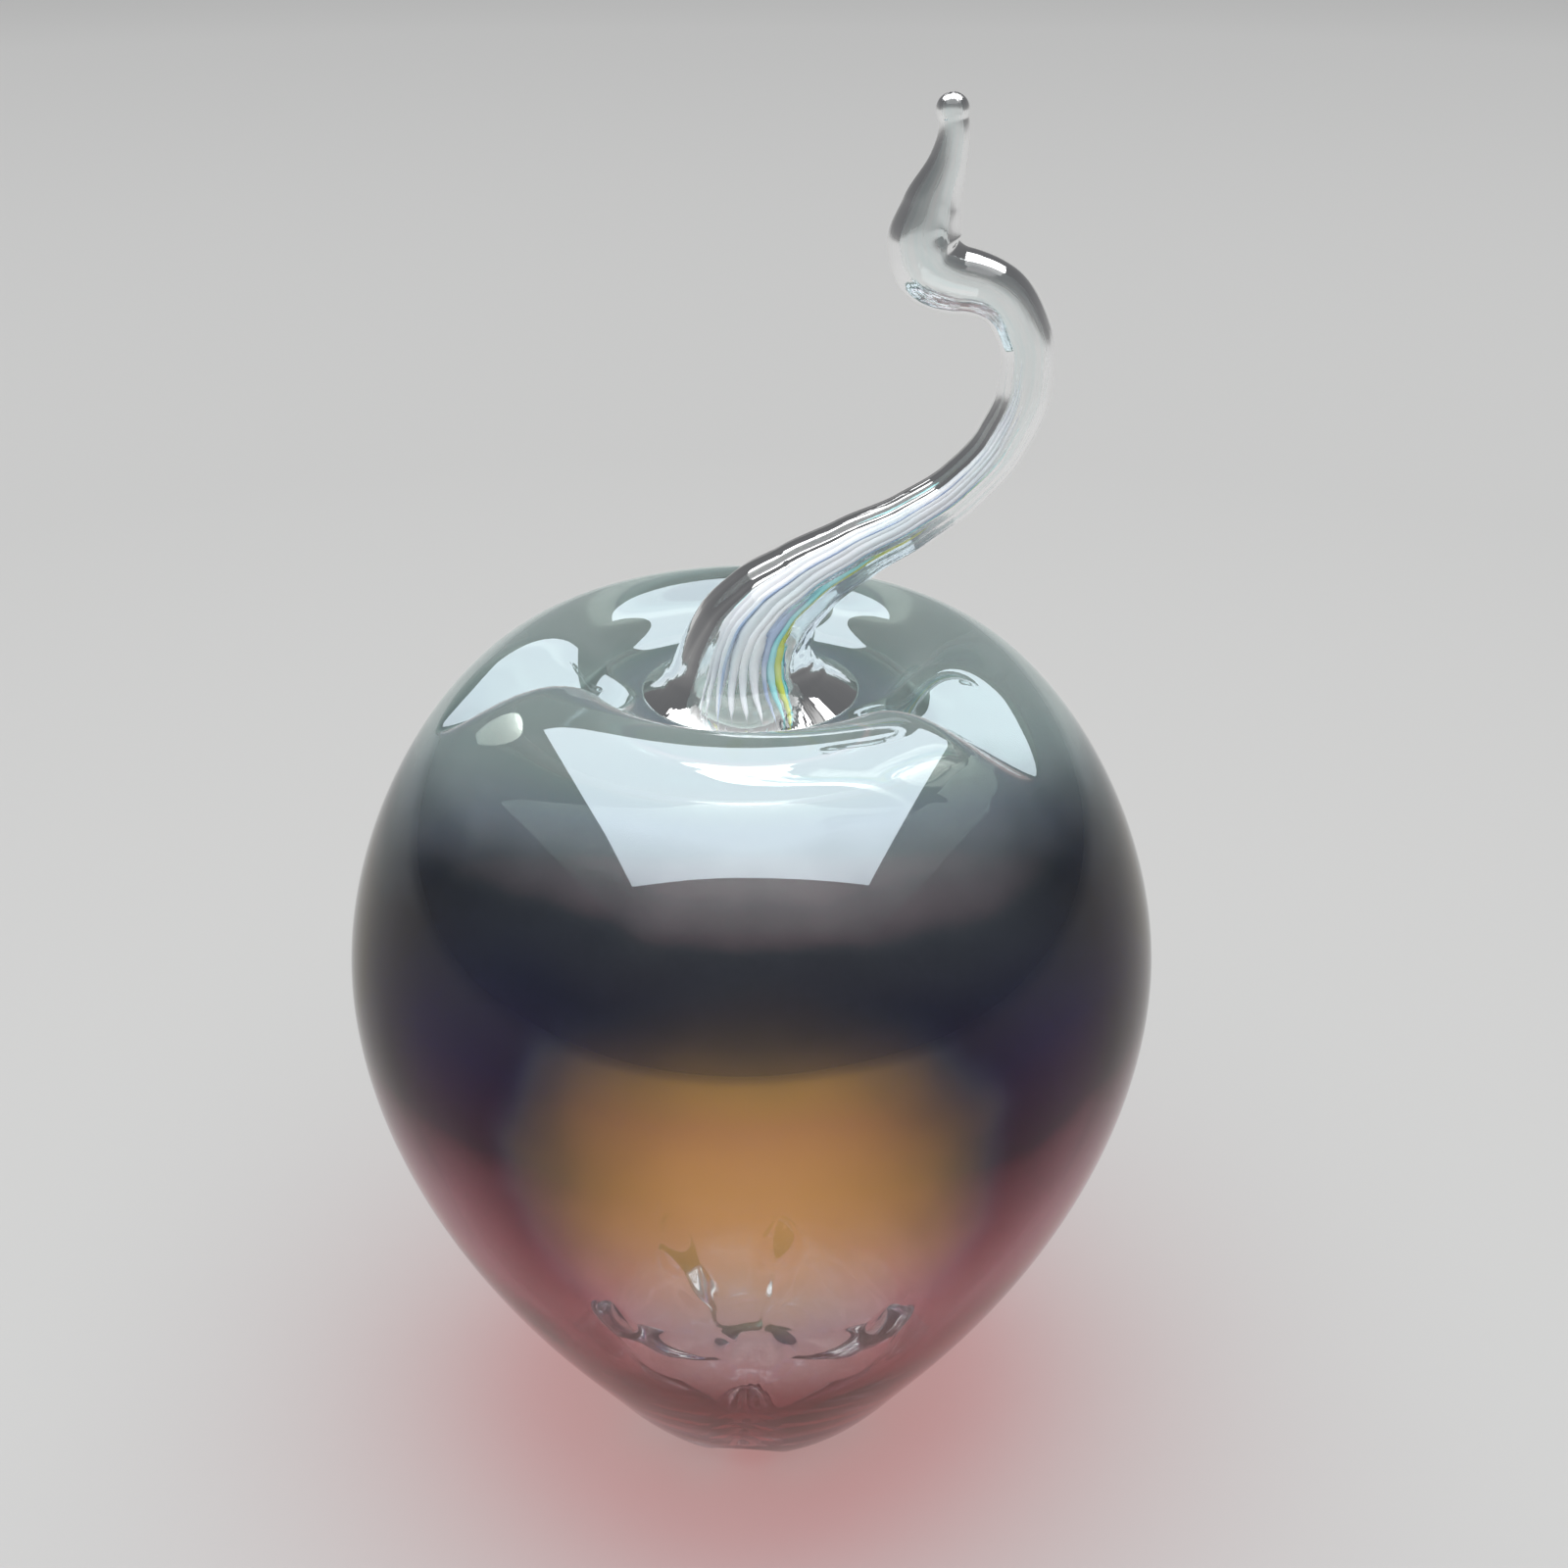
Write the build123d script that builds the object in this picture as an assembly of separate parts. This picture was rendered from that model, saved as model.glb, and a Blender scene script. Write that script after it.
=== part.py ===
from build123d import *
import os
from math import cos, radians, sin, sqrt

# Hand-blown art glass apple: a hollow blown body, and an applied solid stem that seals its blow hole.
# Millimetres. +Z is up. The origin is on the body's axis, at the surface that the apple stands on.
# Azimuths are in degrees, with 0 at +X and 90 at +Y. The stem leans towards +X.

# Body outline: the places that the meridian passes, and how far each curve is pulled along its tangent
PUNTY_RADIUS = 2.5         # polished mark in the middle of the underside
KICK_UP = 0.8              # height of that mark above the table
PUNTY_PULL = 2.0
RING_RADIUS = 8.0          # ring of lobes that the apple stands on
RING_PULL_IN = 2.5
RING_PULL_OUT = 6.0
FLANK_RADIUS = 22.4        # where the foot's rounding runs into the steep flank
FLANK_HEIGHT = 12.0
FLANK_ANGLE = 57.0
FLANK_PULL_DOWN = 6.0
FLANK_PULL_UP = 9.0
BELLY_RADIUS = 45.0        # widest place
BELLY_HEIGHT = 66.0
BELLY_PULL_DOWN = 23.0
BELLY_PULL_UP = 18.5
CREST_RADIUS = 22.0        # rounded rim of the crater
CREST_HEIGHT = 103.6
CREST_PULL_OUT = 9.0
CREST_PULL_IN = 5.0
CRATER_DEPTH = 4.8
FLOOR_RADIUS = 12.3        # flat floor of the crater
FLOOR_PULL = 4.5
FOOT_GRIND = 0.35          # depth ground off the lobes, so that they seat flat

# Glass of the body, from its outside to its round cavity
WALL = 3.1                 # at the flank, the belly and the crater floor
BASE_WALL = 8.8            # where glass settled, under the blossom end's creases
CREST_WALL = 6.4           # under the creases across the crest

# Creases pressed into the soft glass: three across the crest, and five at the blossom end
TOP_AZIMUTHS = (78.0, 190.0, 330.0)
TOP_DEPTH = 4.4
TOP_HALF_WIDTH = 7.5
TOP_REACH = 25.0           # length along the meridian, from the crater floor to the outer tip
TOP_DEEPEST = 0.46         # where along that length the crease is deepest
BASE_AZIMUTHS = (266.0, 348.0, 79.0, 130.0, 193.0)
BASE_DEPTH = 3.6
BASE_HALF_WIDTH = 5.2
BASE_REACH = 21.5          # length along the meridian, from the punty mark to the outer tip
BASE_DEEPEST = 0.70
SOFTNESS = 0.16            # rounding of a crease's valley, as a share of its half width

# Ridges that the blossom end's creases pushed up inside, each an ellipsoid half sunk in the wall
RIDGE_RADIUS = 15.4        # distance of its middle from the axis
RIDGE_HEIGHT = 9.2
RIDGE_TILT = 42.0          # rise of its long axis, away from the body's axis
RIDGE_LENGTH = 11.0
RIDGE_WIDTH = 6.0
RIDGE_DEPTH = 7.6

# Blow hole through the crater floor, closed by the stem's root
BLOW_HOLE_RADIUS = 4.5
SEAL_GAP = 0.05

# Stem
FOOT_RADIUS = 11.6         # flared foot on the crater floor
FOOT_EDGE = 0.3            # thickness of the foot's feathered edge
STEM_RISE = 59.0           # height of the last section above the crater floor
STEM_THICKNESS = 5.4       # diameter of the shaft where it is plain
BEAD_RADIUS = 1.6          # drop at the stem's tip
BEAD_RISE = 0.8            # height of its middle above the stem's last section
# Centre line: x and height as shares of the rise, diameter in thicknesses, heading in degrees
STEM_SHARES = (
    (-0.007, 0.037, 3.11, 90),
    (-0.005, 0.071, 2.67, 84),
    (0.010, 0.119, 2.30, 70),
    (0.046, 0.168, 1.93, 52),
    (0.102, 0.215, 1.56, 42),
    (0.186, 0.269, 1.28, 35),
    (0.285, 0.324, 1.09, 35),
    (0.366, 0.383, 1.00, 45),
    (0.434, 0.466, 0.98, 64),
    (0.469, 0.563, 1.00, 87),
    (0.464, 0.649, 1.00, 112),
    (0.417, 0.720, 1.06, 148),
    (0.356, 0.741, 1.19, 171),
    (0.305, 0.763, 1.35, 137),
    (0.290, 0.812, 1.33, 96),
    (0.302, 0.868, 1.04, 80),
    (0.327, 0.942, 0.65, 78),
    (0.332, 1.000, 0.52, 100),
)

# Fineness of the lofts
RING_POINTS = 72
MERIDIAN_STATIONS = 46

FLOOR_HEIGHT = CREST_HEIGHT - CRATER_DEPTH
TURN = 360.0


def meridian(wall, base_wall, crest_wall):
    """Profile from the punty mark round the side to the crater floor, set in by the glass's thickness."""
    lean_x = cos(radians(FLANK_ANGLE))
    lean_z = sin(radians(FLANK_ANGLE))
    punty = Vector(PUNTY_RADIUS, 0, KICK_UP + base_wall)
    ring = Vector(RING_RADIUS, 0, base_wall - FOOT_GRIND)
    flank = Vector(FLANK_RADIUS - wall * lean_z, 0, FLANK_HEIGHT + wall * lean_x)
    belly = Vector(BELLY_RADIUS - wall, 0, BELLY_HEIGHT)
    crest = Vector(CREST_RADIUS, 0, CREST_HEIGHT - crest_wall)
    floor = Vector(FLOOR_RADIUS, 0, FLOOR_HEIGHT - wall)
    out = Vector(1, 0, 0)
    up = Vector(0, 0, 1)
    lean = Vector(lean_x, 0, lean_z)
    return Wire([
        Edge.make_bezier(punty, punty + out * PUNTY_PULL, ring - out * RING_PULL_IN, ring),
        Edge.make_bezier(ring, ring + out * RING_PULL_OUT, flank - lean * FLANK_PULL_DOWN, flank),
        Edge.make_bezier(flank, flank + lean * FLANK_PULL_UP, belly - up * BELLY_PULL_DOWN, belly),
        Edge.make_bezier(belly, belly + up * BELLY_PULL_UP, crest + out * CREST_PULL_OUT, crest),
        Edge.make_bezier(crest, crest - out * CREST_PULL_IN, floor + out * FLOOR_PULL, floor),
    ])


def lengthwise(share, deepest):
    """Depth along a crease: 0 at both ends and 1 at its deepest place."""
    if not 0 < share < 1:
        return 0.0
    rise = deepest / (1 - deepest)
    return (share / deepest) ** rise * (1 - share) / (1 - deepest)


def crosswise(distance, half_width):
    """Depth across a crease: 1 in its valley, falling smoothly to 0 at its edges."""
    softened = sqrt((distance / half_width) ** 2 + SOFTNESS ** 2)
    return max(0.0, 1 - softened) ** 2 / (1 - SOFTNESS) ** 2


def pressed(radius, azimuth, share, azimuths, depth, half_width, deepest):
    """How far one family of creases pushes the surface along the axis at a point."""
    along = lengthwise(share, deepest)
    if along == 0:
        return 0.0
    total = 0.0
    for centre in azimuths:
        turn = abs((azimuth - centre + TURN / 2) % TURN - TURN / 2)
        total += crosswise(radius * radians(turn), half_width * sqrt(along))
    return depth * along * total


def outside():
    """Solid bounded by the outside of the body, creases and all."""
    outline = meridian(0, 0, 0)
    length = outline.length
    knots = [TURN * index / RING_POINTS for index in range(RING_POINTS + 1)]
    rings = []
    for station in range(MERIDIAN_STATIONS):
        travel = length * station / (MERIDIAN_STATIONS - 1)
        place = outline.position_at(travel, PositionMode.LENGTH)
        points = []
        for azimuth in knots[:-1]:
            lift = pressed(place.X, azimuth, travel / BASE_REACH,
                           BASE_AZIMUTHS, BASE_DEPTH, BASE_HALF_WIDTH, BASE_DEEPEST)
            drop = pressed(place.X, azimuth, (length - travel) / TOP_REACH,
                           TOP_AZIMUTHS, TOP_DEPTH, TOP_HALF_WIDTH, TOP_DEEPEST)
            turned = radians(azimuth)
            points.append((place.X * cos(turned), place.X * sin(turned), place.Z + lift - drop))
        rings.append(Wire([Edge.make_spline(points, periodic=True, parameters=knots)]))
    return Solid.make_loft(rings)


def cavity():
    """Solid of the hollow inside, which stayed round when the creases were pressed."""
    outline = meridian(WALL, BASE_WALL, CREST_WALL)
    low = outline.position_at(0)
    high = outline.position_at(1)
    closing = Polyline(high, (0, 0, high.Z), (0, 0, low.Z), low)
    return revolve(make_face(outline.edges() + closing.edges()), axis=Axis.Z)


def ridges():
    """Solids of the ridges that stand in the cavity behind the blossom end's creases."""
    half_sizes = (RIDGE_LENGTH / 2, RIDGE_WIDTH / 2, RIDGE_DEPTH / 2)
    place = Pos(RIDGE_RADIUS, 0, RIDGE_HEIGHT) * Rot(0, -RIDGE_TILT, 0)
    ridge = place * scale(Sphere(1), by=half_sizes)
    return [Rot(0, 0, azimuth) * ridge for azimuth in BASE_AZIMUTHS]


def body():
    """Hollow blown shell with ground feet, open only at the blow hole."""
    ground = split(outside(), bisect_by=Plane.XY, keep=Keep.TOP)
    hollow = cavity() - ridges()
    blow_hole = Pos(0, 0, FLOOR_HEIGHT) * Cylinder(BLOW_HOLE_RADIUS, 4 * WALL)
    return ground - hollow - blow_hole


def stem():
    """Solid drawn bit: flared foot on the crater floor, root in the blow hole, bent shaft and bead."""
    rows = [(0, 0, 2 * FOOT_RADIUS, 90), (0, FOOT_EDGE, 2 * (FOOT_RADIUS - 2 * FOOT_EDGE), 90)]
    for x, rise, thickness, heading in STEM_SHARES:
        rows.append((x * STEM_RISE, rise * STEM_RISE, thickness * STEM_THICKNESS, heading))
    sections = []
    for x, rise, diameter, heading in rows:
        along = Vector(cos(radians(heading)), 0, sin(radians(heading)))
        centre = Vector(x, 0, FLOOR_HEIGHT + rise)
        sections.append(Wire.make_circle(diameter / 2, Plane(centre, x_dir=(0, 1, 0), z_dir=along)))
    shaft = Solid.make_loft(sections)
    bead = Pos(centre + along * BEAD_RISE) * Sphere(BEAD_RADIUS)
    root = Pos(0, 0, FLOOR_HEIGHT - WALL / 2) * Cylinder(BLOW_HOLE_RADIUS - SEAL_GAP, WALL)
    return shaft + bead + root


os.makedirs("parts", exist_ok=True)
export_step(body(), "parts/body.step")
export_step(stem(), "parts/stem.step")
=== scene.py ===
from math import cos, pi, radians, sin

import bpy
import numpy as np
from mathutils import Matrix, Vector


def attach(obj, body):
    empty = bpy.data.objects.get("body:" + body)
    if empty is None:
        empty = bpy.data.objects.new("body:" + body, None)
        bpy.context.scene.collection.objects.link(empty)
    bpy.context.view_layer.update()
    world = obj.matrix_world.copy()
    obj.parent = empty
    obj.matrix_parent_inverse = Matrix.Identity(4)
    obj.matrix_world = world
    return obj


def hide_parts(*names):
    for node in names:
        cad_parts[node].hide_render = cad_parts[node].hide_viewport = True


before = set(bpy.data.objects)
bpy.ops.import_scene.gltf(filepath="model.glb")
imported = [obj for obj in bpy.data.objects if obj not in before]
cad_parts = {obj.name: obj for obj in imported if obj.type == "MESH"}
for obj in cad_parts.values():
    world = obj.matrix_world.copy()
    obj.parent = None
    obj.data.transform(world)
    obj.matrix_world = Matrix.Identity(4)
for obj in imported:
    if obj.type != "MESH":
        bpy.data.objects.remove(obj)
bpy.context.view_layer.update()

# Lengths are in millimetres, and MM turns them to metres
MM = 0.001
TURN = 360.0
TINY = 1e-9

# Body outline: the places that the meridian passes, and how far each curve is pulled along its tangent
PUNTY_RADIUS = 2.5         # polished mark in the middle of the underside
KICK_UP = 0.8              # height of that mark above the table
PUNTY_PULL = 2.0
RING_RADIUS = 8.0          # ring of lobes that the apple stands on
RING_PULL_IN = 2.5
RING_PULL_OUT = 6.0
FLANK_RADIUS = 22.4        # where the foot's rounding runs into the steep flank
FLANK_HEIGHT = 12.0
FLANK_ANGLE = 57.0
FLANK_PULL_DOWN = 6.0
FLANK_PULL_UP = 9.0
BELLY_RADIUS = 45.0        # widest place
BELLY_HEIGHT = 66.0
BELLY_PULL_DOWN = 23.0
BELLY_PULL_UP = 18.5
CREST_RADIUS = 22.0        # rounded rim of the crater
CREST_HEIGHT = 103.6
CREST_PULL_OUT = 9.0
CREST_PULL_IN = 5.0
CRATER_DEPTH = 4.8
FLOOR_RADIUS = 12.3        # flat floor of the crater
FLOOR_PULL = 4.5
FLOOR_HEIGHT = CREST_HEIGHT - CRATER_DEPTH
FOOT_GRIND = 0.35          # depth ground off the lobes, so that they seat flat

# Glass of the body, from its outside to its cavity
WALL = 3.1                 # at the flank, the belly and the crater floor
BASE_WALL = 8.8            # where glass settled, under the blossom end's creases
CREST_WALL = 6.4           # under the creases across the crest

# Creases pressed into the soft glass: three across the crest, and five at the blossom end
TOP_AZIMUTHS = (78.0, 190.0, 330.0)
TOP_DEPTH = 4.4
TOP_HALF_WIDTH = 7.5
TOP_REACH = 25.0           # length along the meridian, from the crater floor to the outer tip
TOP_DEEPEST = 0.46         # where along that length the crease is deepest
BASE_AZIMUTHS = (266.0, 348.0, 79.0, 130.0, 193.0)
BASE_DEPTH = 3.6
BASE_HALF_WIDTH = 5.2
BASE_REACH = 21.5          # length along the meridian, from the punty mark to the outer tip
BASE_DEEPEST = 0.70
SOFTNESS = 0.16            # rounding of a crease's valley, as a share of its half width
INNER_SOFTNESS = 0.45      # the same in the cavity, where the creases show more softly
INNER_SHARE = 0.45         # depth of a crease in the cavity, as a share of its depth outside
# Blunt ridge behind each crease of the blossom end: distance from the axis, rise and half width
KNOBS = (
    (15.0, 2.2, 4.2),
    (17.2, 3.4, 3.6),
    (14.0, 3.8, 3.8),
    (16.6, 3.6, 3.4),
    (18.4, 3.2, 3.8),
)

# Stem
FOOT_RADIUS = 11.6         # flared foot on the crater floor
FOOT_EDGE = 0.3            # thickness of the foot's feathered edge
STEM_RISE = 59.0           # height of the last section above the crater floor
STEM_THICKNESS = 5.4       # diameter of the shaft where it is plain
BEAD_RADIUS = 1.6          # drop at the stem's tip
BEAD_RISE = 0.8            # height of its middle above the stem's last section
SEAL_GAP = 0.02            # hair between the foot and the crater floor, where the glass is fused
# Centre line: x and height as shares of the rise, diameter in thicknesses, heading in degrees
STEM_SHARES = (
    (-0.007, 0.037, 3.11, 90),
    (-0.005, 0.071, 2.67, 84),
    (0.010, 0.119, 2.30, 70),
    (0.046, 0.168, 1.93, 52),
    (0.102, 0.215, 1.56, 42),
    (0.186, 0.269, 1.28, 35),
    (0.285, 0.324, 1.09, 35),
    (0.366, 0.383, 1.00, 45),
    (0.434, 0.466, 0.98, 64),
    (0.469, 0.563, 1.00, 87),
    (0.464, 0.649, 1.00, 112),
    (0.417, 0.720, 1.06, 148),
    (0.356, 0.741, 1.19, 171),
    (0.305, 0.763, 1.35, 137),
    (0.290, 0.812, 1.33, 96),
    (0.302, 0.868, 1.04, 80),
    (0.327, 0.942, 0.65, 78),
    (0.332, 1.000, 0.52, 100),
)
# Grooves drawn along the stem: depth as a share of its radius, count, and twist and phase in radians
FLUTES = (
    (0.030, 5, 2.2, 0.4),
    (0.022, 9, 4.4, 2.1),
    (0.014, 16, 6.6, 4.0),
)
# Where they set in and die out, and over how much of the stem's length
FLUTE_START = 0.03
FLUTE_SWELL = 0.10
FLUTE_END = 0.75
FLUTE_FADE = 0.35
# Threads of colour: degrees round the stem, reach in radii, half thickness, share where it ends, colour
STREAKS = (
    (110.0, 0.64, 0.42, 0.52, "teal"),
    (123.0, 0.68, 0.38, 0.54, "aqua"),
    (135.0, 0.72, 0.42, 0.48, "lime"),
    (147.0, 0.74, 0.36, 0.46, "aqua"),
    (157.0, 0.76, 0.22, 0.50, "mist"),
    (168.0, 0.70, 0.42, 0.57, "white"),
    (182.0, 0.68, 0.48, 0.60, "white"),
    (197.0, 0.66, 0.52, 0.63, "white"),
    (205.0, 0.80, 0.12, 0.50, "mist"),
    (212.0, 0.68, 0.48, 0.61, "white"),
    (227.0, 0.70, 0.42, 0.58, "white"),
    (240.0, 0.72, 0.40, 0.55, "white"),
    (252.0, 0.70, 0.36, 0.52, "aqua"),
    (264.0, 0.66, 0.42, 0.50, "white"),
    (277.0, 0.62, 0.34, 0.48, "teal"),
    (292.0, 0.60, 0.32, 0.54, "lime"),
    (322.0, 0.70, 0.42, 0.50, "white"),
    (352.0, 0.72, 0.34, 0.46, "lime"),
    (22.0, 0.72, 0.34, 0.50, "aqua"),
    (54.0, 0.70, 0.42, 0.54, "white"),
    (84.0, 0.66, 0.34, 0.48, "mist"),
)
STREAK_START = 0.006       # share of the stem's length where every thread begins
STREAK_TWIST = 0.44        # radians that a thread would turn over the stem's whole length
STREAK_SWELL = 0.15        # share of a thread's own length over which it thickens
STREAK_FADE = 4            # power by which it thins out towards its end
STREAK_LEAST = 0.02        # thickness at its ends, as a share of the whole

# Fineness of the meshes
SPAN_POINTS = 400
OUTER_ROWS = 360
OUTER_TURNS = 360
INNER_ROWS = 300
INNER_TURNS = 240
EDGE_ROWS = 4
STEM_ROWS = 420
BEAD_ROWS = 28
STEM_TURNS = 160
STREAK_ROWS = 90
STREAK_TURNS = 10

# Noises: scale, detail and roughness
CLOUD_NOISE = (38.0, 3.0, 0.5)
WAVE_NOISE = (42.0, 1.0, 0.4)
SMEAR_NOISE = (150.0, 5.0, 0.6)
LINE_NOISE = (5.0, 3.0, 0.55)
STREAK_NOISE = (260.0, 2.0, 0.5)
NOISE_MIDDLE = 0.5

# Clear glass
WHITE = (1.0, 1.0, 1.0, 1.0)
GLASS_INDEX = 1.5
FUSED_INDEX = 1.0          # light doesn't turn where glass is fused to glass

# Colour of the body by share of its height
BODY_COLOURS = (
    (0.00, (0.99, 0.90, 0.90)),
    (0.05, (0.98, 0.80, 0.80)),
    (0.09, (0.62, 0.16, 0.18)),
    (0.15, (0.24, 0.022, 0.035)),
    (0.24, (0.20, 0.020, 0.032)),
    (0.33, (0.32, 0.060, 0.085)),
    (0.42, (0.42, 0.110, 0.150)),
    (0.50, (0.34, 0.100, 0.145)),
    (0.57, (0.14, 0.045, 0.075)),
    (0.63, (0.008, 0.005, 0.018)),
    (0.72, (0.002, 0.005, 0.034)),
    (0.80, (0.002, 0.010, 0.024)),
    (0.87, (0.007, 0.030, 0.034)),
    (0.91, (0.11, 0.19, 0.18)),
    (0.95, (0.56, 0.70, 0.68)),
    (1.00, (0.84, 0.92, 0.90)),
)
# Colour that it gives to light on its way to the table
GLOW_COLOURS = (
    (0.00, (0.98, 0.72, 0.70)),
    (0.06, (0.96, 0.45, 0.43)),
    (0.13, (0.92, 0.20, 0.20)),
    (0.25, (0.90, 0.24, 0.25)),
    (0.40, (0.86, 0.42, 0.45)),
    (0.62, (0.84, 0.74, 0.80)),
    (0.80, (0.92, 0.95, 0.97)),
    (1.00, (1.00, 1.00, 1.00)),
)
BAND_DRIFT = 0.10          # how far the bands of colour wander, as a share of the body's height
SMOKE_COLOUR = (0.45, 0.58, 0.56, 1.0)
SMOKE_DENSITY = 35.0       # per metre of glass
WAVE_DEPTH = 0.25          # unevenness of the blown skin
SMEAR_START = 0.52         # noise at which a smear begins, and at which it is roughest
SMEAR_FULL = 0.75
SMEAR_ROUGHNESS = 0.05

# Fumed lustre: the film's optical path in nanometres, its index, and its haze, by share of the height
FILM_PATHS = ((0.00, 135.0), (0.15, 140.0), (0.70, 138.0), (0.80, 112.0), (0.90, 104.0), (1.00, 104.0))
FILM_INDICES = (
    (0.00, 2.00),
    (0.08, 2.00),
    (0.15, 1.36),
    (0.70, 1.36),
    (0.82, 1.38),
    (0.88, 1.55),
    (0.92, 1.90),
    (0.95, 2.10),
    (1.00, 2.10),
)
HAZE_WEIGHTS = ((0.86, 0.0), (0.90, 0.10), (0.93, 0.27), (1.0, 0.32))
HAZE_TINT = (0.76, 0.92, 0.89, 1.0)
HAZE_ROUGHNESS = 0.9
FUSED_HAZE = 0.45          # haze under the stem's foot

# Painted reflection: a patch on the front of the belly, on the camera's side, where the lustre film is
# thicker, denser and hazier, so that it shows a warm gold reflection
REFLECTION_PLACE = (1.0, -44.0, 65.0)
REFLECTION_REACH = (28.0, 40.0, 26.0)
REFLECTION_CORE = 0.0            # share of the reach where the patch is whole
REFLECTION_RAGGED = 5.0          # reaches that its edge wanders for each body height that the bands do
REFLECTION_PATH = 95.0           # nanometres that it adds to the film's path
REFLECTION_RISE = 900.0          # slope at which it adds them, in nanometres for a mask of 1
REFLECTION_INDEX = 2.3           # what it adds to the film's index in its middle
REFLECTION_BLOOM = 0.22          # and to the haze

# Place low on the front where the colour is thin and the blossom end shows through
THIN_PLACE = (2.0, -36.0, 46.0)
THIN_REACH = (27.0, 40.0, 19.0)
THIN_CORE = 0.3
THIN_COLOUR = (0.87, 0.60, 0.65, 1.0)

# Drawn glass of the stem, tinted by the noise of its lines, and the threads in it
STEM_TINTS = ((0.35, (0.86, 0.96, 0.96)), (0.60, (0.98, 0.99, 0.985)))
LINE_STRETCH = 1.6         # length of the stem in that noise, where its girth is a circle of radius 1
LINE_DEPTH = 0.05
STREAK_COLOURS = {
    "white": (0.90, 0.89, 0.94),
    "aqua": (0.40, 0.83, 0.86),
    "teal": (0.08, 0.44, 0.48),
    "lime": (0.74, 0.78, 0.16),
    "mist": (0.42, 0.50, 0.70),
}
STREAK_ROUGHNESS = 0.6
STREAK_FULL = 0.40         # noise at which a thread has its full colour, and at which it is pale
STREAK_PALE = 0.75

# Table, and how much paler it is shown with distance, as shares of the fade's reach
FLOOR_GAP = 0.02           # hair between the ground feet and the table
FLOOR_HALF = 6000.0
FLOOR_COLOUR = (0.50, 0.50, 0.495, 1.0)
FLOOR_ROUGHNESS = 0.7
FADE_REACH = 2500.0
FADE_COLOUR = (1.0, 1.0, 0.99, 1.0)
FADE_STRENGTHS = ((0.0, 0.0), (0.15, 0.0), (0.50, 0.20), (1.0, 0.26))

# Softbox that hangs over the table and shines straight down
SOFTBOX_PLACE = (0.0, -130.0, 1250.0)
SOFTBOX_TARGET = (0.0, -130.0, 0.0)
SOFTBOX_SIZE = (2050.0, 2000.0)
SOFTBOX_RADIANCE = 2.05
LAMP_WATTS = 4.0           # watts for each square metre of a lamp and each unit of its radiance

# Studio round it, by the sine of the height above the horizon
STUDIO_COLOURS = (
    (0.00, (0.26, 0.26, 0.26)),
    (0.12, (0.185, 0.186, 0.190)),
    (0.35, (0.145, 0.147, 0.152)),
    (0.60, (0.130, 0.133, 0.138)),
)

# Camera, from the photograph's perspective: it looks along +Y and down
PHOTO_SIZE = 1600.0
FOCAL_PIXELS = 2124.0
SENSOR = 36.0
CAMERA_PLACE = (3.6, -202.6, 192.65)
CAMERA_PITCH = 27.5
NEAR_CLIP = 10.0

# Limits on how often light turns: glass inside glass needs more than the defaults
GLASS_BOUNCES = 32
GLOSSY_BOUNCES = 16


def bezier(points, share):
    """Points of a cubic curve at an array of shares."""
    a, b, c, d = (np.array(point, float) for point in points)
    t = share[:, None]
    return (1 - t) ** 3 * a + 3 * (1 - t) ** 2 * t * b + 3 * (1 - t) * t ** 2 * c + t ** 3 * d


def hermite(keys, values, slopes, at):
    """Smooth curve through values with given slopes at the keys."""
    row = np.clip(np.searchsorted(keys, at, side="right") - 1, 0, len(keys) - 2)
    gap = keys[row + 1] - keys[row]
    t = (at - keys[row]) / gap
    start = (2 * t ** 3 - 3 * t ** 2 + 1) * values[row] + (t ** 3 - 2 * t ** 2 + t) * gap * slopes[row]
    end = (3 * t ** 2 - 2 * t ** 3) * values[row + 1] + (t ** 3 - t ** 2) * gap * slopes[row + 1]
    return start + end


def travelled(points):
    """Distance along a line of points to each of them."""
    steps = np.hypot(*np.diff(points, axis=0).T)
    return np.concatenate(((0.0,), np.cumsum(steps)))


def round_angles(count):
    """Angles in radians of points evenly spaced round a circle."""
    return np.arange(count) * 2 * pi / count


def meridian(walls, rows):
    """Radius and height at rows evenly spaced along the profile, with the travel to each."""
    wall, base_wall, crest_wall = walls
    lean = np.array((cos(radians(FLANK_ANGLE)), sin(radians(FLANK_ANGLE))))
    out = np.array((1.0, 0.0))
    up = np.array((0.0, 1.0))
    punty = np.array((PUNTY_RADIUS, KICK_UP + base_wall))
    ring = np.array((RING_RADIUS, base_wall - FOOT_GRIND))
    flank = np.array((FLANK_RADIUS - wall * lean[1], FLANK_HEIGHT + wall * lean[0]))
    belly = np.array((BELLY_RADIUS - wall, BELLY_HEIGHT))
    crest = np.array((CREST_RADIUS, CREST_HEIGHT - crest_wall))
    floor = np.array((FLOOR_RADIUS, FLOOR_HEIGHT - wall))
    spans = (
        (punty, punty + out * PUNTY_PULL, ring - out * RING_PULL_IN, ring),
        (ring, ring + out * RING_PULL_OUT, flank - lean * FLANK_PULL_DOWN, flank),
        (flank, flank + lean * FLANK_PULL_UP, belly - up * BELLY_PULL_DOWN, belly),
        (belly, belly + up * BELLY_PULL_UP, crest + out * CREST_PULL_OUT, crest),
        (crest, crest - out * CREST_PULL_IN, floor + out * FLOOR_PULL, floor),
    )
    fine = np.vstack([bezier(span, np.linspace(0, 1, SPAN_POINTS)) for span in spans])
    travel = travelled(fine)
    even = np.linspace(0, travel[-1], rows)
    return np.interp(even, travel, fine[:, 0]), np.interp(even, travel, fine[:, 1]), even


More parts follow.
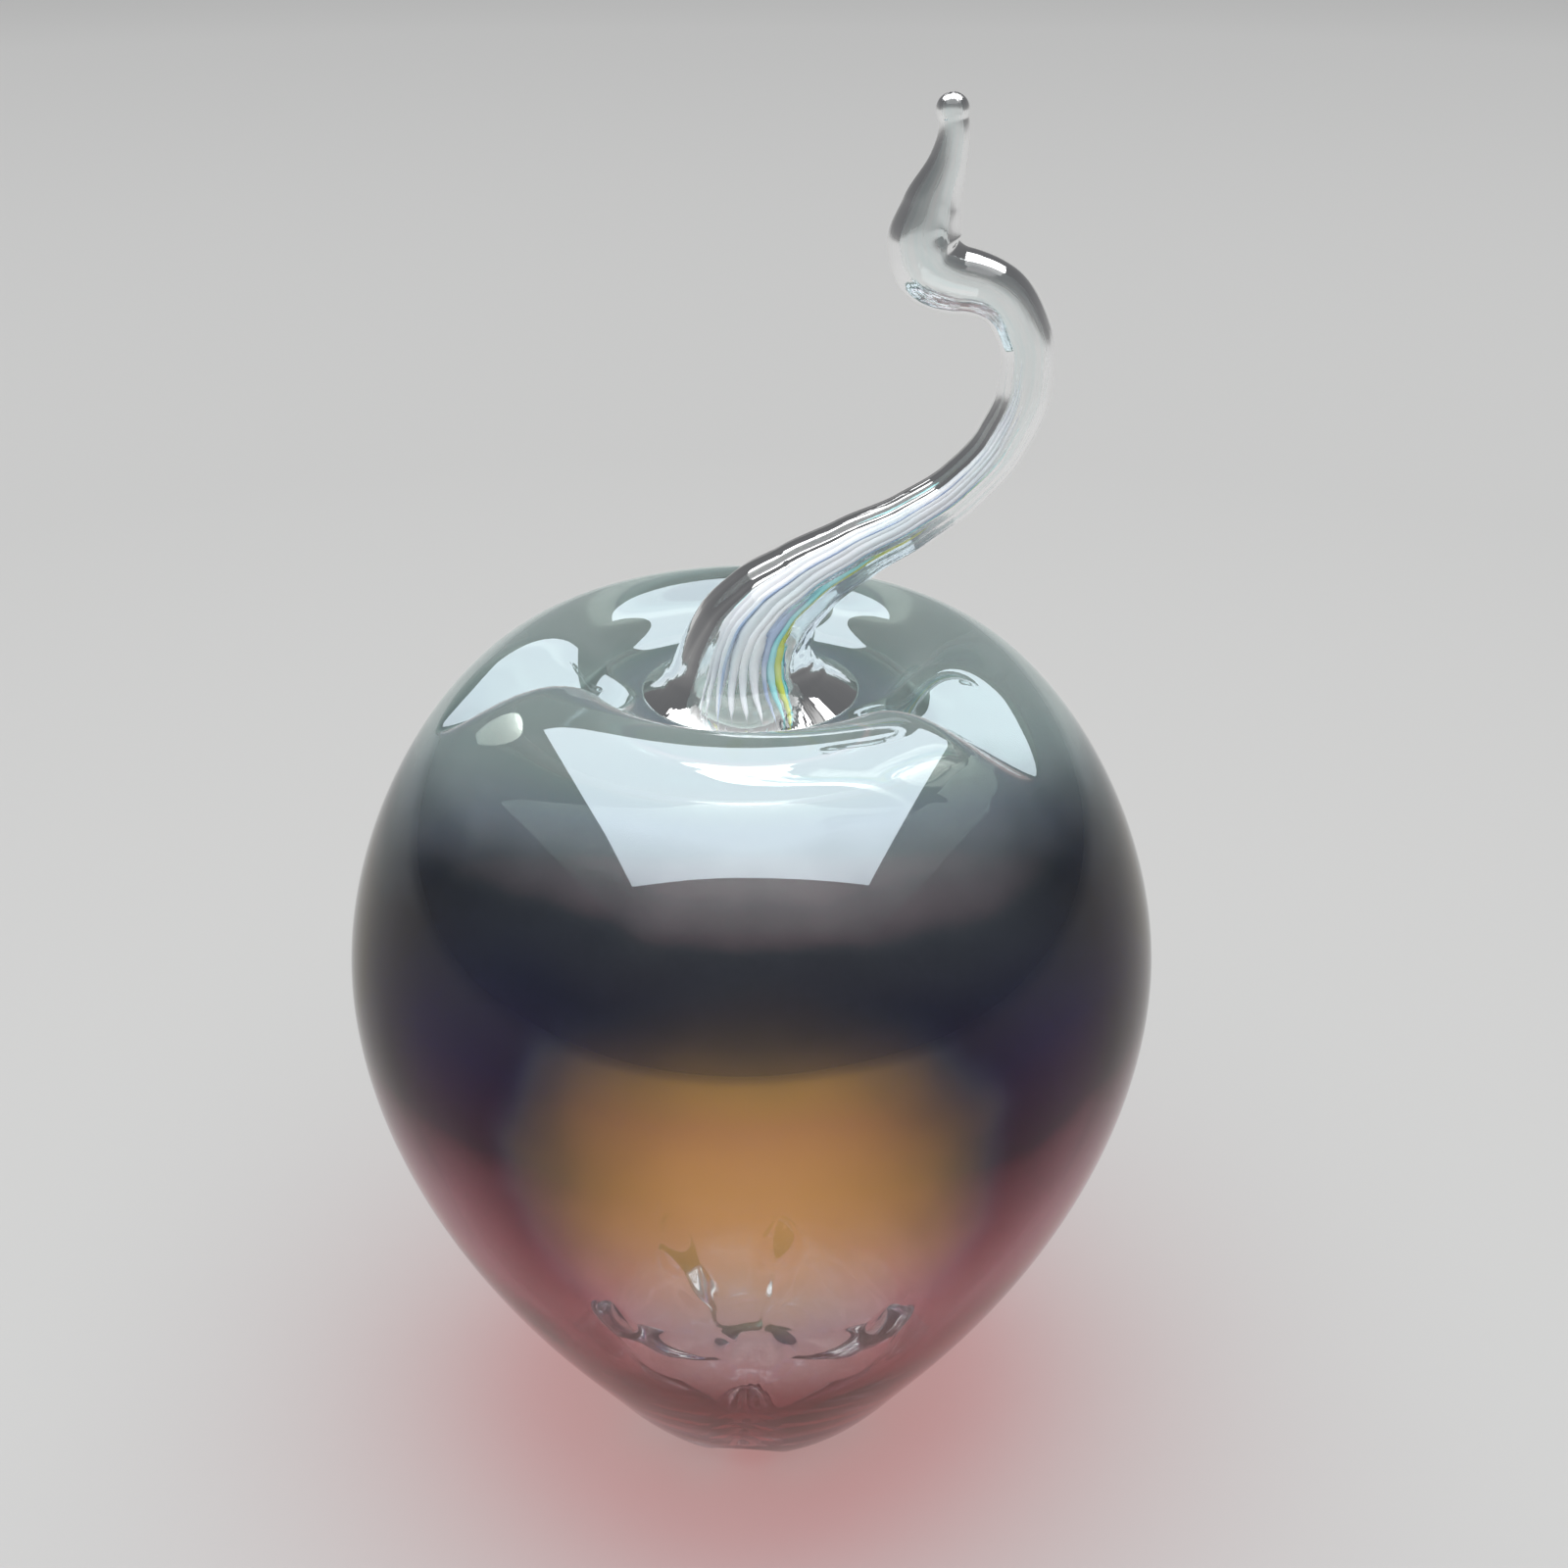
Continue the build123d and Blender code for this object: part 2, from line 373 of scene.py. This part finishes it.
def pressed(radius, azimuth, share, softness, azimuths, depth, half_width, deepest):
    """How far one family of creases pushes each point of a grid along the axis."""
    inside = np.clip(share, TINY, 1 - TINY)
    along = (inside / deepest) ** (deepest / (1 - deepest)) * (1 - inside) / (1 - deepest)
    along = np.where((share > 0) & (share < 1), along, 0.0)
    reach = np.maximum(half_width * np.sqrt(along), TINY)
    total = 0.0
    for centre in azimuths:
        turn = np.abs((azimuth - centre + TURN / 2) % TURN - TURN / 2)
        softened = np.sqrt((radius * np.radians(turn) / reach) ** 2 + softness ** 2)
        total = total + np.maximum(0.0, 1 - softened) ** 2 / (1 - softness) ** 2
    return depth * along * total


def skin(walls, softness, rows, turns, top_share, base_share):
    """Grid of points over one side of the body's wall, in rows from the punty mark to the crater floor."""
    radius, height, travel = (values[:, None] for values in meridian(walls, rows))
    azimuth = np.arange(turns) * TURN / turns
    lift = pressed(radius, azimuth, travel / BASE_REACH, softness,
                   BASE_AZIMUTHS, BASE_DEPTH * base_share, BASE_HALF_WIDTH, BASE_DEEPEST)
    drop = pressed(radius, azimuth, (travel[-1] - travel) / TOP_REACH, softness,
                   TOP_AZIMUTHS, TOP_DEPTH * top_share, TOP_HALF_WIDTH, TOP_DEEPEST)
    x = radius * np.cos(np.radians(azimuth))
    y = radius * np.sin(np.radians(azimuth))
    return np.stack((x, y, height + lift - drop), axis=-1)


def knobs(points):
    """How far the blunt ridges stand up from each point of the cavity's floor."""
    rise = 0.0
    for azimuth, (radius, height, half_width) in zip(BASE_AZIMUTHS, KNOBS):
        x = radius * cos(radians(azimuth))
        y = radius * sin(radians(azimuth))
        gap = np.hypot(points[..., 0] - x, points[..., 1] - y) / half_width
        rise = rise + height * np.maximum(0.0, 1 - gap ** 2) ** 2
    return np.where(points[..., 2] < BELLY_HEIGHT, rise, 0.0)


def grid_faces(rows, turns, start, flip):
    """Quads of a grid that closes round its turns."""
    faces = []
    for row in range(rows - 1):
        for turn in range(turns):
            a = start + row * turns + turn
            b = start + row * turns + (turn + 1) % turns
            quad = (a, b, b + turns, a + turns)
            faces.append(quad[::-1] if flip else quad)
    return faces


def fan_faces(ring_start, turns, centre, flip):
    """Triangles from one ring of a grid to a point in its middle."""
    faces = []
    for turn in range(turns):
        triangle = (centre, ring_start + (turn + 1) % turns, ring_start + turn)
        faces.append(triangle[::-1] if flip else triangle)
    return faces


def make_object(name, points, faces, material_index, materials):
    """Smooth mesh object from points in millimetres."""
    mesh = bpy.data.meshes.new(name)
    mesh.from_pydata([tuple(point * MM) for point in points], [], faces)
    for material in materials:
        mesh.materials.append(material)
    mesh.polygons.foreach_set("material_index", material_index)
    mesh.polygons.foreach_set("use_smooth", [True] * len(faces))
    mesh.update()
    obj = bpy.data.objects.new(name, mesh)
    bpy.context.scene.collection.objects.link(obj)
    return obj


def give_values(obj, name, values):
    """Puts a named number on each point of a mesh, for its material to read."""
    attribute = obj.data.attributes.new(name, "FLOAT", "POINT")
    attribute.data.foreach_set("value", np.asarray(values, np.float32))


def feed(tree, socket, value):
    """Gives an input a value, or links it to another socket."""
    if isinstance(value, bpy.types.NodeSocket):
        tree.links.new(value, socket)
    else:
        socket.default_value = value


def node(tree, kind, **settings):
    """New node with its settings, each a property or what one of its inputs is fed."""
    new = tree.nodes.new(kind)
    for key, value in settings.items():
        if hasattr(new, key):
            setattr(new, key, value)
        else:
            feed(tree, new.inputs[key.replace("_", " ")], value)
    return new


def math_node(tree, operation, *values):
    """Arithmetic on sockets or numbers."""
    new = node(tree, "ShaderNodeMath", operation=operation)
    for socket, value in zip(new.inputs, values):
        feed(tree, socket, value)
    return new.outputs["Value"]


def vector_node(tree, operation, *values):
    """Arithmetic on sockets or vectors."""
    new = node(tree, "ShaderNodeVectorMath", operation=operation)
    for socket, value in zip(new.inputs, values):
        feed(tree, socket, value)
    return new.outputs["Value" if operation == "LENGTH" else "Vector"]


def noise(tree, place, kind):
    """Noise of a given scale, detail and roughness."""
    scale, detail, roughness = kind
    new = node(tree, "ShaderNodeTexNoise", Vector=place, Scale=scale, Detail=detail, Roughness=roughness)
    return new.outputs["Fac"]


def mixed(tree, factor, first, second):
    """Colour that goes from the first to the second as a factor rises."""
    mix = node(tree, "ShaderNodeMix", data_type="RGBA", Factor=factor, A=first, B=second)
    return mix.outputs["Result"]


def ramp(tree, stops, source):
    """Colour ramp through (place, colour) stops."""
    new = node(tree, "ShaderNodeValToRGB", Fac=source)
    elements = new.color_ramp.elements
    while len(elements) < len(stops):
        elements.new(0.5)
    for element, (place, colour) in zip(elements, stops):
        element.position = place
        element.color = (*colour, 1.0)
    return new.outputs["Color"]


def curve(tree, stops, source):
    """Value that follows (place, value) stops."""
    most = max(value for place, value in stops)
    grey = ramp(tree, [(place, (value / most,) * 3) for place, value in stops], source)
    return math_node(tree, "MULTIPLY", grey, most)


def patch(tree, place, middle, reach, core, ragged):
    """Mask that is 1 round a point of the surface and falls to 0 at its reach, with a ragged edge."""
    gap = vector_node(tree, "SUBTRACT", place, Vector(middle) * MM)
    ratio = vector_node(tree, "DIVIDE", gap, Vector(reach) * MM)
    far = math_node(tree, "ADD", vector_node(tree, "LENGTH", ratio), ragged)
    mask = node(tree, "ShaderNodeMapRange", interpolation_type="SMOOTHSTEP",
                From_Min=1.0, From_Max=core, Value=far)
    return mask.outputs["Result"]


def new_material(name):
    """Material with an empty node tree and its output node."""
    material = bpy.data.materials.new(name)
    material.use_nodes = True
    tree = material.node_tree
    tree.nodes.clear()
    return material, tree, tree.nodes.new("ShaderNodeOutputMaterial")


def object_place(tree):
    """Coordinates of the point that is shaded, in the object's own frame."""
    return tree.nodes.new("ShaderNodeTexCoord").outputs["Object"]


def let_light_through(tree, shader, tint, output):
    """Shows the shader to the eye, and a plain tint to light on its way to the table."""
    path = tree.nodes.new("ShaderNodeLightPath")
    clear = node(tree, "ShaderNodeBsdfTransparent", Color=tint)
    for kind in ("Is Diffuse Ray", "Is Shadow Ray"):
        mix = node(tree, "ShaderNodeMixShader", Fac=path.outputs[kind])
        tree.links.new(shader, mix.inputs[1])
        tree.links.new(clear.outputs["BSDF"], mix.inputs[2])
        shader = mix.outputs["Shader"]
    tree.links.new(shader, output.inputs["Surface"])


def lustre_film(tree, height, gold_reflection):
    """Thickness in nanometres and index of the lustre film, which is thicker and denser in the patch that
    paints a gold reflection.
    """
    longer = math_node(tree, "MINIMUM", math_node(tree, "MULTIPLY", gold_reflection, REFLECTION_RISE), REFLECTION_PATH)
    path = math_node(tree, "ADD", curve(tree, FILM_PATHS, height), longer)
    denser = math_node(tree, "MULTIPLY", gold_reflection, REFLECTION_INDEX)
    index = math_node(tree, "ADD", curve(tree, FILM_INDICES, height), denser)
    return math_node(tree, "DIVIDE", path, index), index


def lustre_glass():
    """Blown glass, teal at the shoulder, navy at the belly and burgundy below, under a fumed lustre."""
    material, tree, output = new_material("lustre_glass")
    place = object_place(tree)
    inside = node(tree, "ShaderNodeAttribute", attribute_name="inside").outputs["Fac"]
    outside = math_node(tree, "SUBTRACT", 1.0, inside)
    level = node(tree, "ShaderNodeSeparateXYZ", Vector=place).outputs["Z"]
    share = math_node(tree, "DIVIDE", level, CREST_HEIGHT * MM)
    cloud = math_node(tree, "SUBTRACT", noise(tree, place, CLOUD_NOISE), NOISE_MIDDLE)
    drift = math_node(tree, "MULTIPLY", cloud, BAND_DRIFT)
    height = math_node(tree, "ADD", share, drift)
    ragged = math_node(tree, "MULTIPLY", drift, REFLECTION_RAGGED)
    # Painted reflection: mask of the patch on the belly's front where the film shows a warm gold
    # reflection
    gold_reflection = patch(tree, place, REFLECTION_PLACE, REFLECTION_REACH, REFLECTION_CORE, ragged)
    thin = patch(tree, place, THIN_PLACE, THIN_REACH, THIN_CORE, drift)
    colour = mixed(tree, thin, ramp(tree, BODY_COLOURS, height), THIN_COLOUR)
    thickness, index = lustre_film(tree, height, gold_reflection)
    # The painted gold reflection also adds haze on the outside of that patch
    bloom = math_node(tree, "MULTIPLY", math_node(tree, "MULTIPLY", gold_reflection, outside), REFLECTION_BLOOM)
    wave = noise(tree, place, WAVE_NOISE)
    bump = node(tree, "ShaderNodeBump", Strength=1.0, Distance=WAVE_DEPTH * MM, Height=wave)
    smear = node(tree, "ShaderNodeMapRange", Value=noise(tree, place, SMEAR_NOISE),
                 From_Min=SMEAR_START, From_Max=SMEAR_FULL, To_Max=SMEAR_ROUGHNESS)
    glass = node(
        tree, "ShaderNodeBsdfPrincipled",
        Base_Color=mixed(tree, inside, colour, WHITE),
        IOR=GLASS_INDEX,
        Transmission_Weight=1.0,
        Roughness=math_node(tree, "MULTIPLY", smear.outputs["Result"], outside),
        Normal=bump.outputs["Normal"],
        Thin_Film_Thickness=math_node(tree, "MULTIPLY", thickness, outside),
        Thin_Film_IOR=index,
        Sheen_Weight=math_node(tree, "ADD", curve(tree, HAZE_WEIGHTS, height), bloom),
        Sheen_Roughness=HAZE_ROUGHNESS,
        Sheen_Tint=HAZE_TINT,
    )
    glow = mixed(tree, inside, ramp(tree, GLOW_COLOURS, height), WHITE)
    let_light_through(tree, glass.outputs["BSDF"], glow, output)
    smoke = node(tree, "ShaderNodeVolumeAbsorption", Color=SMOKE_COLOUR, Density=SMOKE_DENSITY)
    tree.links.new(smoke.outputs["Volume"], output.inputs["Volume"])
    return material


def stem_glass():
    """Clear drawn glass, faintly green, with fine lines along it."""
    material, tree, output = new_material("drawn_glass")
    along = node(tree, "ShaderNodeAttribute", attribute_name="along").outputs["Fac"]
    around = node(tree, "ShaderNodeAttribute", attribute_name="around").outputs["Fac"]
    angle = math_node(tree, "MULTIPLY", around, 2 * pi)
    place = node(
        tree, "ShaderNodeCombineXYZ",
        X=math_node(tree, "MULTIPLY", along, LINE_STRETCH),
        Y=math_node(tree, "COSINE", angle),
        Z=math_node(tree, "SINE", angle),
    )
    lines = noise(tree, place.outputs["Vector"], LINE_NOISE)
    bump = node(tree, "ShaderNodeBump", Strength=1.0, Distance=LINE_DEPTH * MM, Height=lines)
    tint = ramp(tree, STEM_TINTS, lines)
    glass = node(
        tree, "ShaderNodeBsdfPrincipled",
        Base_Color=tint,
        IOR=GLASS_INDEX,
        Transmission_Weight=1.0,
        Roughness=0.0,
        Normal=bump.outputs["Normal"],
    )
    let_light_through(tree, glass.outputs["BSDF"], tint, output)
    return material


def streak_glass(name, colour):
    """Opaque colour inside clear glass, uneven along its length, with no gloss of its own."""
    material, tree, output = new_material("streak_" + name)
    cloud = noise(tree, object_place(tree), STREAK_NOISE)
    pale = tuple((1 + value) / 2 for value in colour)
    paint = node(
        tree, "ShaderNodeBsdfPrincipled",
        Base_Color=ramp(tree, ((STREAK_FULL, colour), (STREAK_PALE, pale)), cloud),
        Roughness=STREAK_ROUGHNESS,
        Specular_IOR_Level=0.0,
    )
    tree.links.new(paint.outputs["BSDF"], output.inputs["Surface"])
    return material


def fused_glass():
    """Fused joint: light goes straight on from one piece of glass into the other, through a faint haze."""
    material, tree, output = new_material("fused_joint")
    glass = node(
        tree, "ShaderNodeBsdfPrincipled",
        Base_Color=WHITE,
        IOR=FUSED_INDEX,
        Transmission_Weight=1.0,
        Roughness=0.0,
        Sheen_Weight=FUSED_HAZE,
        Sheen_Roughness=HAZE_ROUGHNESS,
        Sheen_Tint=HAZE_TINT,
    )
    tree.links.new(glass.outputs["BSDF"], output.inputs["Surface"])
    return material


def make_body(glass, fused):
    """Blown shell: its outside, its cavity, and the fused place under the stem's foot."""
    outer = skin((0, 0, 0), SOFTNESS, OUTER_ROWS, OUTER_TURNS, 1.0, 1.0)
    outer[..., 2] = np.maximum(outer[..., 2], 0.0)
    angle = round_angles(OUTER_TURNS)
    level = np.full(OUTER_TURNS, FLOOR_HEIGHT)
    rim = np.stack((FOOT_RADIUS * np.cos(angle), FOOT_RADIUS * np.sin(angle), level), axis=-1)
    outer = np.concatenate((outer, rim[None]))
    walls = (WALL, BASE_WALL, CREST_WALL)
    inner = skin(walls, INNER_SOFTNESS, INNER_ROWS, INNER_TURNS, 0.0, INNER_SHARE)
    inner[..., 2] += knobs(inner)
    heights = (KICK_UP, FLOOR_HEIGHT, KICK_UP + BASE_WALL, FLOOR_HEIGHT - WALL)
    centres = np.array([(0, 0, height) for height in heights])
    points = np.concatenate((outer.reshape(-1, 3), inner.reshape(-1, 3), centres))
    outer_rows = len(outer)
    inner_start = outer_rows * OUTER_TURNS
    inner_end = inner_start + INNER_ROWS * INNER_TURNS
    below, above, inner_below, inner_above = range(inner_end, inner_end + len(centres))
    outside = grid_faces(outer_rows, OUTER_TURNS, 0, False)
    outside += fan_faces(0, OUTER_TURNS, below, False)
    joint = fan_faces(inner_start - OUTER_TURNS, OUTER_TURNS, above, True)
    cavity = grid_faces(INNER_ROWS, INNER_TURNS, inner_start, True)
    cavity += fan_faces(inner_start, INNER_TURNS, inner_below, True)
    cavity += fan_faces(inner_end - INNER_TURNS, INNER_TURNS, inner_above, False)
    index = [0] * len(outside) + [1] * len(joint) + [0] * len(cavity)
    obj = make_object("blown_body", points, outside + joint + cavity, index, (glass, fused))
    inside = np.zeros(len(points))
    inside[inner_start:inner_end] = 1.0
    inside[inner_below:] = 1.0
    give_values(obj, "inside", inside)
    return obj


def flutes(share, angle):
    """Radius with the drawn grooves, as a share of the radius without them."""
    swell = np.clip((share - FLUTE_START) / FLUTE_SWELL, 0, 1)
    fade = np.clip((FLUTE_END - share) / FLUTE_FADE, 0, 1)
    wave = 0.0
    for depth, count, twist, phase in FLUTES:
        wave = wave + depth * np.cos(count * angle + twist * share + phase)
    return 1 + swell * fade * wave


def stem_path():
    """Share of the length, x, height, heading and radius at rows up the stem."""
    rows = [(0, 0, 2 * FOOT_RADIUS, 90), (0, FOOT_EDGE, 2 * (FOOT_RADIUS - 2 * FOOT_EDGE), 90)]
    for x, rise, thickness, heading in STEM_SHARES:
        rows.append((x * STEM_RISE, rise * STEM_RISE, thickness * STEM_THICKNESS, heading))
    table = np.array(rows, float)
    centre = table[:, :2] + (0.0, FLOOR_HEIGHT + SEAL_GAP)
    half = table[:, 2] / 2
    heading = np.radians(table[:, 3])
    keys = travelled(centre)
    edge = np.linspace(0, keys[1], EDGE_ROWS, endpoint=False)
    travel = np.concatenate((edge, np.linspace(keys[1], keys[-1], STEM_ROWS)))
    x = hermite(keys, centre[:, 0], np.cos(heading), travel)
    z = hermite(keys, centre[:, 1], np.sin(heading), travel)
    radius = hermite(keys, half, np.gradient(half, keys), travel)
    return travel / keys[-1], x, z, np.interp(travel, keys, heading), radius


def around_path(x, z, heading, across, outward):
    """Points beside the stem's centre line: across it along Y, and outward in the plane of its bends."""
    return np.stack((x + outward * np.sin(heading), across, z - outward * np.cos(heading)), axis=-1)


def make_stem(glass, fused):
    """Drawn bit with its flared foot, fluted shaft and bead."""
    share, x, z, heading, radius = stem_path()
    end = heading[-1]
    polar = np.linspace(np.arccos(-BEAD_RISE / BEAD_RADIUS), 0, BEAD_ROWS + 1)[1:-1]
    beyond = BEAD_RISE + BEAD_RADIUS * np.cos(polar)
    tip = BEAD_RISE + BEAD_RADIUS
    foot_centre = (0, 0, FLOOR_HEIGHT + SEAL_GAP)
    tip_centre = (x[-1] + tip * cos(end), 0, z[-1] + tip * sin(end))
    x = np.concatenate((x, x[-1] + beyond * cos(end)))
    z = np.concatenate((z, z[-1] + beyond * sin(end)))
    radius = np.concatenate((radius, BEAD_RADIUS * np.sin(polar)))
    heading = np.concatenate((heading, np.full(len(polar), end)))
    share = np.concatenate((share, np.ones(len(polar))))
    angle = round_angles(STEM_TURNS)
    fluted = radius[:, None] * flutes(share[:, None], angle)
    across = fluted * np.cos(angle)
    outward = fluted * np.sin(angle)
    grid = around_path(x[:, None], z[:, None], heading[:, None], across, outward)
    points = np.concatenate((grid.reshape(-1, 3), (foot_centre, tip_centre)))
    rows = len(radius)
    outside = grid_faces(rows, STEM_TURNS, 0, False)
    outside += fan_faces((rows - 1) * STEM_TURNS, STEM_TURNS, rows * STEM_TURNS + 1, True)
    joint = fan_faces(0, STEM_TURNS, rows * STEM_TURNS, False)
    index = [0] * len(outside) + [1] * len(joint)
    obj = make_object("drawn_stem", points, outside + joint, index, (glass, fused))
    give_values(obj, "along", np.concatenate((np.repeat(share, STEM_TURNS), (0.0, 1.0))))
    give_values(obj, "around", np.concatenate((np.tile(angle / (2 * pi), rows), (0.0, 0.0))))
    return obj


def make_streaks(glasses):
    """Threads of colour inside the lower part of the stem, which turn a little and thin out upwards."""
    path = stem_path()
    angle = round_angles(STREAK_TURNS)
    names = list(glasses)
    points, faces, index = [], [], []
    for azimuth, reach, half, end, colour in STREAKS:
        share = np.linspace(STREAK_START, end, STREAK_ROWS)
        x, z, heading, radius = (np.interp(share, path[0], values)[:, None] for values in path[1:])
        passed = (share - STREAK_START) / (end - STREAK_START)
        taper = np.sqrt(np.minimum(1, passed / STREAK_SWELL)) * (1 - passed ** STREAK_FADE)
        thick = half * (np.sqrt(radius / radius[-1]) * taper[:, None] + STREAK_LEAST)
        swing = radians(azimuth) + STREAK_TWIST * share[:, None]
        across = reach * radius * np.cos(swing) + thick * np.cos(angle)
        outward = reach * radius * np.sin(swing) + thick * np.sin(angle)
        grid = around_path(x, z, heading, across, outward)
        start = len(points)
        points += list(grid.reshape(-1, 3))
        points += [grid[0].mean(axis=0), grid[-1].mean(axis=0)]
        last = start + (STREAK_ROWS - 1) * STREAK_TURNS
        tube = grid_faces(STREAK_ROWS, STREAK_TURNS, start, False)
        tube += fan_faces(start, STREAK_TURNS, len(points) - 2, False)
        tube += fan_faces(last, STREAK_TURNS, len(points) - 1, True)
        faces += tube
        index += [names.index(colour)] * len(tube)
    return make_object("colour_streaks", points, faces, index, list(glasses.values()))


def make_floor():
    """Plain pale table. Far from the apple it is shown a little paler than the softbox leaves it."""
    material, tree, output = new_material("pale_floor")
    distance = vector_node(tree, "LENGTH", object_place(tree))
    far = curve(tree, FADE_STRENGTHS, math_node(tree, "DIVIDE", distance, FADE_REACH * MM))
    path = tree.nodes.new("ShaderNodeLightPath")
    seen = path.outputs["Is Camera Ray"]
    for kind in ("Is Glossy Ray", "Is Transmission Ray"):
        seen = math_node(tree, "MAXIMUM", seen, path.outputs[kind])
    paint = node(
        tree, "ShaderNodeBsdfPrincipled",
        Base_Color=FLOOR_COLOUR,
        Roughness=FLOOR_ROUGHNESS,
        Emission_Color=FADE_COLOUR,
        Emission_Strength=math_node(tree, "MULTIPLY", far, seen),
    )
    tree.links.new(paint.outputs["BSDF"], output.inputs["Surface"])
    mesh = bpy.data.meshes.new("floor")
    half = FLOOR_HALF * MM
    low = -FLOOR_GAP * MM
    corners = [(-half, -half, low), (half, -half, low), (half, half, low), (-half, half, low)]
    mesh.from_pydata(corners, [], [(0, 1, 2, 3)])
    mesh.materials.append(material)
    floor = bpy.data.objects.new("floor", mesh)
    bpy.context.scene.collection.objects.link(floor)


def make_softbox():
    """Large soft lamp, aimed at a point on the table."""
    data = bpy.data.lights.new("softbox", "AREA")
    data.shape = "RECTANGLE"
    data.size = SOFTBOX_SIZE[0] * MM
    data.size_y = SOFTBOX_SIZE[1] * MM
    data.energy = LAMP_WATTS * SOFTBOX_RADIANCE * data.size * data.size_y
    lamp = bpy.data.objects.new("softbox", data)
    lamp.location = Vector(SOFTBOX_PLACE) * MM
    aim = Vector(SOFTBOX_TARGET) - Vector(SOFTBOX_PLACE)
    lamp.rotation_euler = aim.to_track_quat("-Z", "Y").to_euler()
    bpy.context.scene.collection.objects.link(lamp)


def make_studio():
    """Dim surroundings, pale near the horizon and darker overhead, where the softbox hangs."""
    world = bpy.data.worlds.new("studio")
    world.use_nodes = True
    tree = world.node_tree
    direction = tree.nodes.new("ShaderNodeTexCoord").outputs["Generated"]
    upward = node(tree, "ShaderNodeSeparateXYZ", Vector=direction).outputs["Z"]
    tree.links.new(ramp(tree, STUDIO_COLOURS, upward), tree.nodes["Background"].inputs["Color"])
    bpy.context.scene.world = world


def make_camera():
    """Camera at the photograph's angle."""
    data = bpy.data.cameras.new("camera")
    data.sensor_width = SENSOR
    data.lens = FOCAL_PIXELS / PHOTO_SIZE * SENSOR
    data.clip_start = NEAR_CLIP * MM
    camera = bpy.data.objects.new("camera", data)
    camera.location = Vector(CAMERA_PLACE) * MM
    camera.rotation_euler = (radians(90 - CAMERA_PITCH), 0, 0)
    bpy.context.scene.collection.objects.link(camera)
    bpy.context.scene.camera = camera


fused = fused_glass()
body = make_body(lustre_glass(), fused)
stem = make_stem(stem_glass(), fused)
streaks = make_streaks({name: streak_glass(name, colour) for name, colour in STREAK_COLOURS.items()})
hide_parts("body")
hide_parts("stem")
for piece, slot in ((body, "body_glass"), (stem, "stem_glass"), (streaks, "stem_glass")):
    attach(piece, "root")

make_floor()
make_softbox()
make_studio()
make_camera()
bpy.context.scene.view_settings.view_transform = "Standard"
bpy.context.scene.cycles.max_bounces = GLASS_BOUNCES
bpy.context.scene.cycles.glossy_bounces = GLOSSY_BOUNCES
bpy.context.scene.cycles.transmission_bounces = GLASS_BOUNCES
